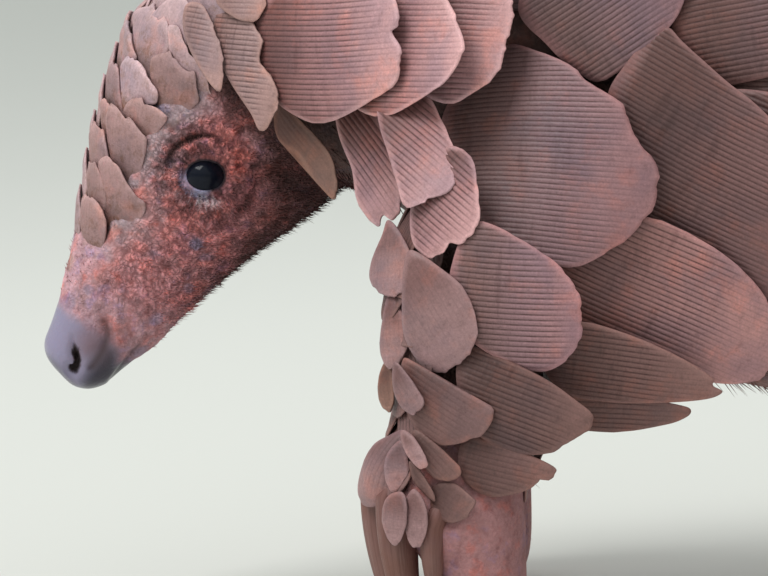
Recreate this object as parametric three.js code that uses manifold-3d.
// A ground pangolin at life size, standing on all four feet with its head hanging low.
// Millimetres, +Z up. The animal faces -Y, its left side is at +X, and the floor is z = 0.
// Every solid reaches out to the tips of the scales or hair, which lie within it.
import * as THREE from "three";
import { mergeVertices } from "three/addons/utils/BufferGeometryUtils.js";
import Module from "manifold-3d";

const wasm = await Module();
wasm.setup();

// Driving dimensions
const GAP = 0.3; // between neighbouring pieces
const FINENESS = 0.12; // detail smaller than this is left out
const HEAD_LENGTH = 104; // nose tip to the back of the skull
const HEAD_PITCH = THREE.MathUtils.degToRad(57); // how far the muzzle points below level
const NOSE_TIP = new THREE.Vector3(0, 16, 72);
const EYE_RADIUS = 5.6;
const EYE_ALONG = 56.8; // from the nose tip, along the head's axis
const EYE_BELOW = 4.8; // below that axis, towards the chin
const EYE_SIDE = 19.3; // from the middle of the head to the middle of the eyeball
const TAIL_SWAY = 34; // how far the tail's tip swings to the right
const FORE_STANCE = 60; // from the middle of the body to the middle of a foot
const HIND_STANCE = 61;
const FORE_STAGGER = 8; // the right forefoot stands this much behind the left one
const HIND_STAGGER = 14; // and the left hind foot this much behind the right one

const SIDES = [
  ["left", 1],
  ["right", -1],
];

const HIDE = { color: 0x8a5f55, roughness: 0.9, metalness: 0 };
const MAIL = { color: 0x8d6a60, roughness: 0.6, metalness: 0 };
const CLAW = { color: 0x6f5247, roughness: 0.5, metalness: 0 };
const NOSE = { color: 0x6d5a68, roughness: 0.45, metalness: 0 };
const EYE = { color: 0x0b0a0c, roughness: 0.1, metalness: 0 };

// A signed power, which squares off a circle into a superellipse
const bulge = (value, exponent) => Math.sign(value) * Math.abs(value) ** (2 / exponent);

// A closed skin over rings of equally many points, with a fan over each end
function loft(rings) {
  const sides = rings[0].length;
  const middle = (ring) => ring.reduce((sum, p) => sum.add(p), new THREE.Vector3()).divideScalar(sides);
  const points = [...rings.flat(), middle(rings[0]), middle(rings[rings.length - 1])];
  const faces = [];
  for (let i = 0; i < rings.length - 1; i++) {
    for (let j = 0; j < sides; j++) {
      const a = i * sides + j;
      const b = i * sides + ((j + 1) % sides);
      faces.push(a, b, a + sides, b, b + sides, a + sides);
    }
  }
  const last = (rings.length - 1) * sides;
  for (let j = 0; j < sides; j++) {
    const k = (j + 1) % sides;
    faces.push(points.length - 2, k, j);
    faces.push(points.length - 1, last + j, last + k);
  }
  return new THREE.BufferGeometry().setFromPoints(points).setIndex(faces);
}

function solid(geometry) {
  const bare = geometry.clone();
  bare.deleteAttribute("normal");
  bare.deleteAttribute("uv");
  const merged = mergeVertices(bare, 1e-4);
  const vertProperties = merged.attributes.position.array;
  const triVerts = new Uint32Array(merged.index.array);
  const made = new wasm.Manifold(new wasm.Mesh({ numProp: 3, vertProperties, triVerts }));
  if (made.volume() > 0) return made;
  for (let i = 0; i < triVerts.length; i += 3) {
    [triVerts[i + 1], triVerts[i + 2]] = [triVerts[i + 2], triVerts[i + 1]];
  }
  return new wasm.Manifold(new wasm.Mesh({ numProp: 3, vertProperties, triVerts }));
}

// The largest of the bodies that a cut leaves
const largest = (cut) => cut.decompose().reduce((a, b) => (b.volume() > a.volume() ? b : a));

const animal = new THREE.Group();

function add(name, shape, finish) {
  const { numProp, numVert, vertProperties, triVerts } = largest(shape).simplify(FINENESS).getMesh();
  const position = new Float32Array(numVert * 3);
  for (let i = 0; i < numVert; i++) {
    position.set(vertProperties.subarray(i * numProp, i * numProp + 3), i * 3);
  }
  const geometry = new THREE.BufferGeometry();
  geometry.setAttribute("position", new THREE.BufferAttribute(position, 3));
  geometry.setIndex(new THREE.BufferAttribute(triVerts, 1));
  geometry.computeVertexNormals();
  const mesh = new THREE.Mesh(geometry, new THREE.MeshStandardMaterial(finish));
  mesh.name = name;
  animal.add(mesh);
}

// A smooth run through one number of each station, read by the station's index
function track(stations, key) {
  const curve = new THREE.CatmullRomCurve3(
    stations.map((s) => new THREE.Vector3(s[key] ?? 0, 0, 0)),
    false,
    "catmullrom",
    0.5,
  );
  return (index) => curve.getPoint(index / (stations.length - 1)).x;
}

// Neck, trunk and tail: sections across the spine. up, down and side are half sizes
const SPINE = [
  { part: "neck", y: 52, z: 131, up: 28, down: 22, side: 23 },
  { y: 65, z: 144, up: 36, down: 35, side: 34.5 },
  { y: 90, z: 156, up: 44, down: 52, side: 48 },
  { part: "shoulders", y: 124, z: 158, up: 57, down: 64, side: 60 },
  { y: 164, z: 154, up: 74, down: 84, side: 72 },
  { part: "chest", y: 210, z: 152, up: 88, down: 94, side: 80 },
  { y: 260, z: 152, up: 97, down: 97, side: 86 },
  { part: "loin", y: 310, z: 152, up: 98, down: 95, side: 88 },
  { part: "rump", y: 360, z: 146, up: 92, down: 84, side: 84 },
  { y: 408, z: 134, up: 78, down: 64, side: 75 },
  { part: "tail_root", y: 456, z: 116, up: 58, down: 44, side: 65 },
  { y: 506, z: 97, up: 43, down: 31, side: 59 },
  { part: "tail_middle", y: 566, z: 78, up: 34, down: 25, side: 54 },
  { y: 632, z: 60, up: 28, down: 21, side: 48 },
  { part: "tail_end", y: 700, z: 46, up: 23, down: 18, side: 41 },
  { y: 768, z: 36, up: 18, down: 14, side: 33 },
  { y: 832, z: 30, up: 12, down: 10, side: 23 },
  { y: 866, z: 29, up: 5, down: 4, side: 10 },
];
const spine = Object.fromEntries(["y", "z", "up", "down", "side"].map((k) => [k, track(SPINE, k)]));
const TAIL_START = SPINE.findIndex((s) => s.part === "tail_root");

// The tail swings aside more and more towards its tip
const sway = (index) => {
  const share = Math.max(0, index - TAIL_START) / (SPINE.length - 1 - TAIL_START);
  return -TAIL_SWAY * share ** 1.6;
};

const spinePoint = (index) => new THREE.Vector3(sway(index), spine.y(index), spine.z(index));

function spineRing(index, grow = 0, sides = 26) {
  const STEP = 0.02;
  const last = SPINE.length - 1;
  const ahead = spinePoint(Math.min(last, index + STEP));
  const along = ahead.sub(spinePoint(Math.max(0, index - STEP))).normalize();
  const across = along.clone().cross(new THREE.Vector3(0, 0, 1)).normalize();
  const upward = across.clone().cross(along);
  return Array.from({ length: sides }, (_, j) => {
    const turn = ((j + 0.5) / sides) * 2 * Math.PI;
    const rise = bulge(Math.sin(turn), Math.sin(turn) > 0 ? 2.15 : 2.6);
    const reach = rise > 0 ? spine.up(index) + grow : spine.down(index) + grow;
    return spinePoint(index)
      .addScaledVector(across, (spine.side(index) + grow) * bulge(Math.cos(turn), 2.2))
      .addScaledVector(upward, reach * rise);
  });
}

function spineLoft(from, to, grow = 0) {
  const RINGS_PER_STATION = 2;
  const steps = Math.max(1, Math.round((to - from) * RINGS_PER_STATION));
  return solid(
    loft(Array.from({ length: steps + 1 }, (_, i) => spineRing(from + ((to - from) * i) / steps, grow))),
  );
}

// Head: sections across its straight axis, from the nose tip backwards. up is towards the forehead
const HEAD = [
  { t: -7.4, up: 7.6, down: 12.8, side: 9.6 },
  { t: 4, up: 9.8, down: 15.2, side: 11 },
  { t: 13, up: 12.6, down: 18, side: 12.6 },
  { t: 24, up: 16.4, down: 19.6, side: 14.8 },
  { t: 36, up: 20.8, down: 22.6, side: 17.8 },
  { t: 47, up: 25.4, down: 26.4, side: 21.2 },
  { t: 58, up: 29.2, down: 30.8, side: 24.4 },
  { t: 70, up: 32.2, down: 34.8, side: 27.2 },
  { t: 84, up: 34, down: 38, side: 29.5 },
  { t: HEAD_LENGTH, up: 30, down: 34, side: 28 },
];
const NOSE_ROUND = 6.5;
const SKULL_ROUND = 24;
const headTrack = Object.fromEntries(["t", "up", "down", "side"].map((k) => [k, track(HEAD, k)]));
const headAlong = new THREE.Vector3(0, Math.cos(HEAD_PITCH), Math.sin(HEAD_PITCH));
const headUp = new THREE.Vector3(0, -Math.sin(HEAD_PITCH), Math.cos(HEAD_PITCH));

const headPlace = (side, along, up) =>
  NOSE_TIP.clone()
    .addScaledVector(headAlong, along)
    .addScaledVector(headUp, up)
    .add(new THREE.Vector3(side, 0, 0));

// How far a rounded end has filled out, this far in from it
const rounding = (inward, radius) => {
  const short = 1 - Math.min(1, Math.max(0, inward) / radius);
  return Math.sqrt(Math.max(0.002, 1 - short * short));
};

function headRing(index, grow, sides = 24) {
  const t = headTrack.t(index);
  const first = HEAD[0].t;
  const full = rounding(t - first, NOSE_ROUND) * rounding(HEAD_LENGTH - t, SKULL_ROUND);
  const [up, down, side] = ["up", "down", "side"].map((k) => headTrack[k](index) * full + grow);
  return Array.from({ length: sides }, (_, j) => {
    const turn = ((j + 0.5) / sides) * 2 * Math.PI;
    const rise = bulge(Math.sin(turn), 2);
    return headPlace(side * bulge(Math.cos(turn), 2.1), t, (rise > 0 ? up : down) * rise);
  });
}

// Rings crowd towards the nose, where the head rounds off
function headLoft(grow = 0) {
  const RINGS = 20;
  const CROWDING = 1.5;
  const ring = (i) => headRing((HEAD.length - 1) * (i / RINGS) ** CROWDING, grow);
  return solid(loft(Array.from({ length: RINGS + 1 }, (_, i) => ring(i))));
}

// A box in the head's own directions
function headBox(size, along, up) {
  const box = new THREE.BoxGeometry(size.side, size.up, size.along);
  const turned = new THREE.Matrix4().makeBasis(new THREE.Vector3(1, 0, 0), headUp, headAlong);
  turned.setPosition(headPlace(0, along, up));
  return solid(box.applyMatrix4(turned));
}

const ball = (radius, centre, scale = [1, 1, 1]) => {
  const globe = new THREE.SphereGeometry(radius, 12, 8).scale(...scale);
  return solid(globe.translate(centre.x, centre.y, centre.z));
};

// Legs: level sections from the foot's flat sole up into the body, given for the left side.
// The digits stand in an arc round the front of the foot: spread is from straight ahead, outwards
const FORELEG = {
  pieces: ["forefoot", "forearm", "upper_foreleg"],
  cuts: [0, 5, 7],
  stance: FORE_STANCE,
  shift: { left: 0, right: FORE_STAGGER },
  stations: [
    { z: 0, y: 120, long: 9, wide: 12.5, side: 0 },
    { z: 3, y: 120, long: 11.5, wide: 15.5, side: 0 },
    { z: 14, y: 119.5, long: 12, wide: 17.5, side: 0 },
    { z: 28, y: 118, long: 13, wide: 18, side: 0 },
    { z: 39, y: 111.5, long: 19.5, wide: 19.5, side: 0 },
    { z: 51, y: 111, long: 21, wide: 19.5, side: 0 },
    { z: 61, y: 118, long: 21, wide: 19, side: 0 },
    { z: 84, y: 118, long: 25, wide: 22, side: -1 },
    { z: 106, y: 126, long: 31, wide: 25, side: -6 },
    { z: 132, y: 140, long: 35, wide: 25, side: -16 },
    { z: 154, y: 150, long: 30, wide: 22, side: -32 },
  ],
  claw: "foreclaw",
  digits: [
    { spread: -72, length: 18, thick: 7, height: 36 },
    { spread: -38, length: 36, thick: 10, height: 42.5 },
    { spread: -4, length: 46, thick: 12, height: 46 },
    { spread: 32, length: 40, thick: 10.5, height: 44 },
    { spread: 68, length: 22, thick: 7.5, height: 37.5 },
  ],
  arc: { y: 113.5, long: 16.5, wide: 15.5 },
  pitch: 1.5,
  bend: 0.55,
};
const HINDLEG = {
  pieces: ["hindfoot", "shank", "thigh"],
  cuts: [0, 3, 5],
  stance: HIND_STANCE,
  shift: { left: HIND_STAGGER, right: 0 },
  stations: [
    { z: 0, y: 372, long: 29, wide: 22, side: 0 },
    { z: 4, y: 372, long: 33, wide: 26, side: 0 },
    { z: 14, y: 374, long: 34, wide: 27, side: 0 },
    { z: 26, y: 379, long: 31, wide: 27, side: 0 },
    { z: 42, y: 384, long: 30, wide: 27, side: 0 },
    { z: 64, y: 383, long: 37, wide: 30, side: -3 },
    { z: 92, y: 377, long: 46, wide: 32, side: -9 },
    { z: 126, y: 370, long: 50, wide: 32, side: -18 },
  ],
  claw: "hindclaw",
  digits: [
    { spread: -62, length: 12, thick: 6.5, height: 10 },
    { spread: -32, length: 15, thick: 8, height: 10 },
    { spread: 0, length: 16, thick: 8.5, height: 10 },
    { spread: 32, length: 15, thick: 8, height: 10 },
    { spread: 62, length: 12, thick: 6.5, height: 10 },
  ],
  arc: { y: 374, long: 30, wide: 21 },
  pitch: 0.25,
  bend: 0.5,
};

function limbLoft(limb, from, to, sideName) {
  const SIDES = 16;
  const RINGS_PER_STATION = 2;
  const SQUARENESS = 2.3;
  const sign = sideName === "left" ? 1 : -1;
  const keys = ["z", "y", "long", "wide", "side"];
  const at = Object.fromEntries(keys.map((k) => [k, track(limb.stations, k)]));
  const steps = Math.round((to - from) * RINGS_PER_STATION);
  const ring = (index) =>
    Array.from({ length: SIDES }, (_, j) => {
      const turn = ((j + 0.5) / SIDES) * 2 * Math.PI;
      const x = sign * (limb.stance + at.side(index)) + at.wide(index) * bulge(Math.cos(turn), SQUARENESS);
      const y = at.y(index) + limb.shift[sideName] + at.long(index) * bulge(Math.sin(turn), SQUARENESS);
      return new THREE.Vector3(x, y, Math.max(0, at.z(index)));
    });
  const rings = Array.from({ length: steps + 1 }, (_, i) => ring(from + ((to - from) * i) / steps));
  return solid(loft(rings));
}

// A claw: a horn that bends back in an arc, thick at its root and narrow at its tip
function claw({ root, outward, length, thick, bend, pitch }) {
  const STEPS = 5;
  const SIDES = 6;
  const TAPER = { share: 0.86, power: 1.4 };
  const SECTION = { wide: 0.82, deep: 1.1 };
  const forward = new THREE.Vector3(Math.sin(outward), -Math.cos(outward), 0);
  const sideways = new THREE.Vector3(Math.cos(outward), Math.sin(outward), 0);
  const down = new THREE.Vector3(0, 0, -1);
  const spot = root.clone();
  const rings = [];
  for (let i = 0; i <= STEPS; i++) {
    const share = i / STEPS;
    const angle = pitch + bend * share;
    const along = forward.clone().multiplyScalar(Math.cos(angle)).addScaledVector(down, Math.sin(angle));
    const back = forward.clone().multiplyScalar(Math.sin(angle)).addScaledVector(down, -Math.cos(angle));
    const radius = (thick / 2) * (1 - TAPER.share * share ** TAPER.power);
    rings.push(
      Array.from({ length: SIDES }, (_, j) => {
        const turn = ((j + 0.5) / SIDES) * 2 * Math.PI;
        return spot
          .clone()
          .addScaledVector(sideways, radius * SECTION.wide * Math.cos(turn))
          .addScaledVector(back, radius * SECTION.deep * Math.sin(turn));
      }),
    );
    spot.addScaledVector(along, length / STEPS);
  }
  return solid(loft(rings));
}

// The claws of one foot, each in the finish of horn, and the room they take in the foot
function addClaws(limb, sideName) {
  const sign = sideName === "left" ? 1 : -1;
  return limb.digits.map(({ spread, length, thick, height }, digit) => {
    const outward = THREE.MathUtils.degToRad(spread) * sign;
    const root = new THREE.Vector3(
      sign * limb.stance + Math.sin(outward) * limb.arc.wide,
      limb.arc.y + limb.shift[sideName] - Math.cos(outward) * limb.arc.long,
      height,
    );
    const shape = { root, outward, length, thick, bend: limb.bend, pitch: limb.pitch };
    add(`${limb.claw}_${sideName}_${digit + 1}`, claw(shape), CLAW);
    return claw({ ...shape, thick: thick + GAP * 2.4 });
  });
}

function addLeg(limb, sideName) {
  const CUT = 0.02;
  const top = limb.stations.length - 1;
  const rooms = addClaws(limb, sideName);
  limb.pieces.forEach((piece, i) => {
    const from = limb.cuts[i] + (i ? CUT : 0);
    const to = limb.cuts[i + 1] ?? top;
    let length = limbLoft(limb, from, to, sideName).subtract(body);
    if (i === 0) length = rooms.reduce((foot, room) => foot.subtract(room), length);
    add(`${piece}_${sideName}`, length, i ? MAIL : HIDE);
  });
}

const body = spineLoft(0, SPINE.length - 1, GAP);
const head = headLoft();

// The face: nose pad, lower jaw, eyes and ears are cut out of the head
const LIP_DEPTH = 13.4; // from the head's axis down to the line of the mouth
const MOUTH = { from: 1.5, to: 25 };
const JAW_ROOM = { side: 60, up: 20, along: MOUTH.to - MOUTH.from };
const jawMiddle = (MOUTH.from + MOUTH.to) / 2;
const grown = (size) => ({ side: size.side + GAP * 2, up: size.up + GAP * 2, along: size.along + GAP * 2 });
const jawSpace = headBox(JAW_ROOM, jawMiddle, -LIP_DEPTH - JAW_ROOM.up / 2);
const jawHole = headBox(grown(JAW_ROOM), jawMiddle, -LIP_DEPTH - JAW_ROOM.up / 2);
const NOSE_PAD = 7; // how far back the bare nose reaches
const NOSE_ROOM = { side: 60, up: 80, along: 40 };
const noseSpace = headBox(NOSE_ROOM, NOSE_PAD - NOSE_ROOM.along / 2, 0);
const noseHole = headBox(grown(NOSE_ROOM), NOSE_PAD - NOSE_ROOM.along / 2, 0);

let skull = head.subtract(jawHole).subtract(noseHole);
add("nose", head.intersect(noseSpace).subtract(jawHole), NOSE);
add("lower_jaw", head.intersect(jawSpace), HIDE);
for (const [name, side] of SIDES) {
  const eyeCentre = headPlace(side * EYE_SIDE, EYE_ALONG, -EYE_BELOW);
  add("eye_" + name, ball(EYE_RADIUS, eyeCentre), EYE);
  skull = skull.subtract(ball(EYE_RADIUS + GAP, eyeCentre));
}
add("head", skull, HIDE);

// Neck, trunk and tail, each a length of the one loft with a thin cut between
const swollenHead = headLoft(GAP);
const cuts = SPINE.map((s, index) => ({ ...s, index })).filter((s) => s.part);
cuts.forEach(({ part, index }, i) => {
  const end = i + 1 < cuts.length ? cuts[i + 1].index : SPINE.length - 1;
  const thinCut = GAP / spinePoint(index).distanceTo(spinePoint(index + 1));
  const piece = spineLoft(index + (i ? thinCut : 0), end);
  add(part, part === "neck" ? piece.subtract(swollenHead) : piece, MAIL);
});

// The outer ear is a small flap, half hidden under the first scales of the neck
const EAR = { side: 26.4, along: 74, up: -16, height: 8, scale: [0.36, 0.6, 1] };
for (const [name, side] of SIDES) {
  const earCentre = headPlace(side * EAR.side, EAR.along, EAR.up);
  add("ear_" + name, ball(EAR.height, earCentre, EAR.scale).subtract(swollenHead).subtract(body), HIDE);
  addLeg(FORELEG, name);
  addLeg(HINDLEG, name);
}

// The origin goes to the floor under the middle of the whole animal
const reach = new THREE.Box3().setFromObject(animal);
animal.position.set(-(reach.min.x + reach.max.x) / 2, -(reach.min.y + reach.max.y) / 2, 0);
animal.updateMatrixWorld(true);

export default animal;
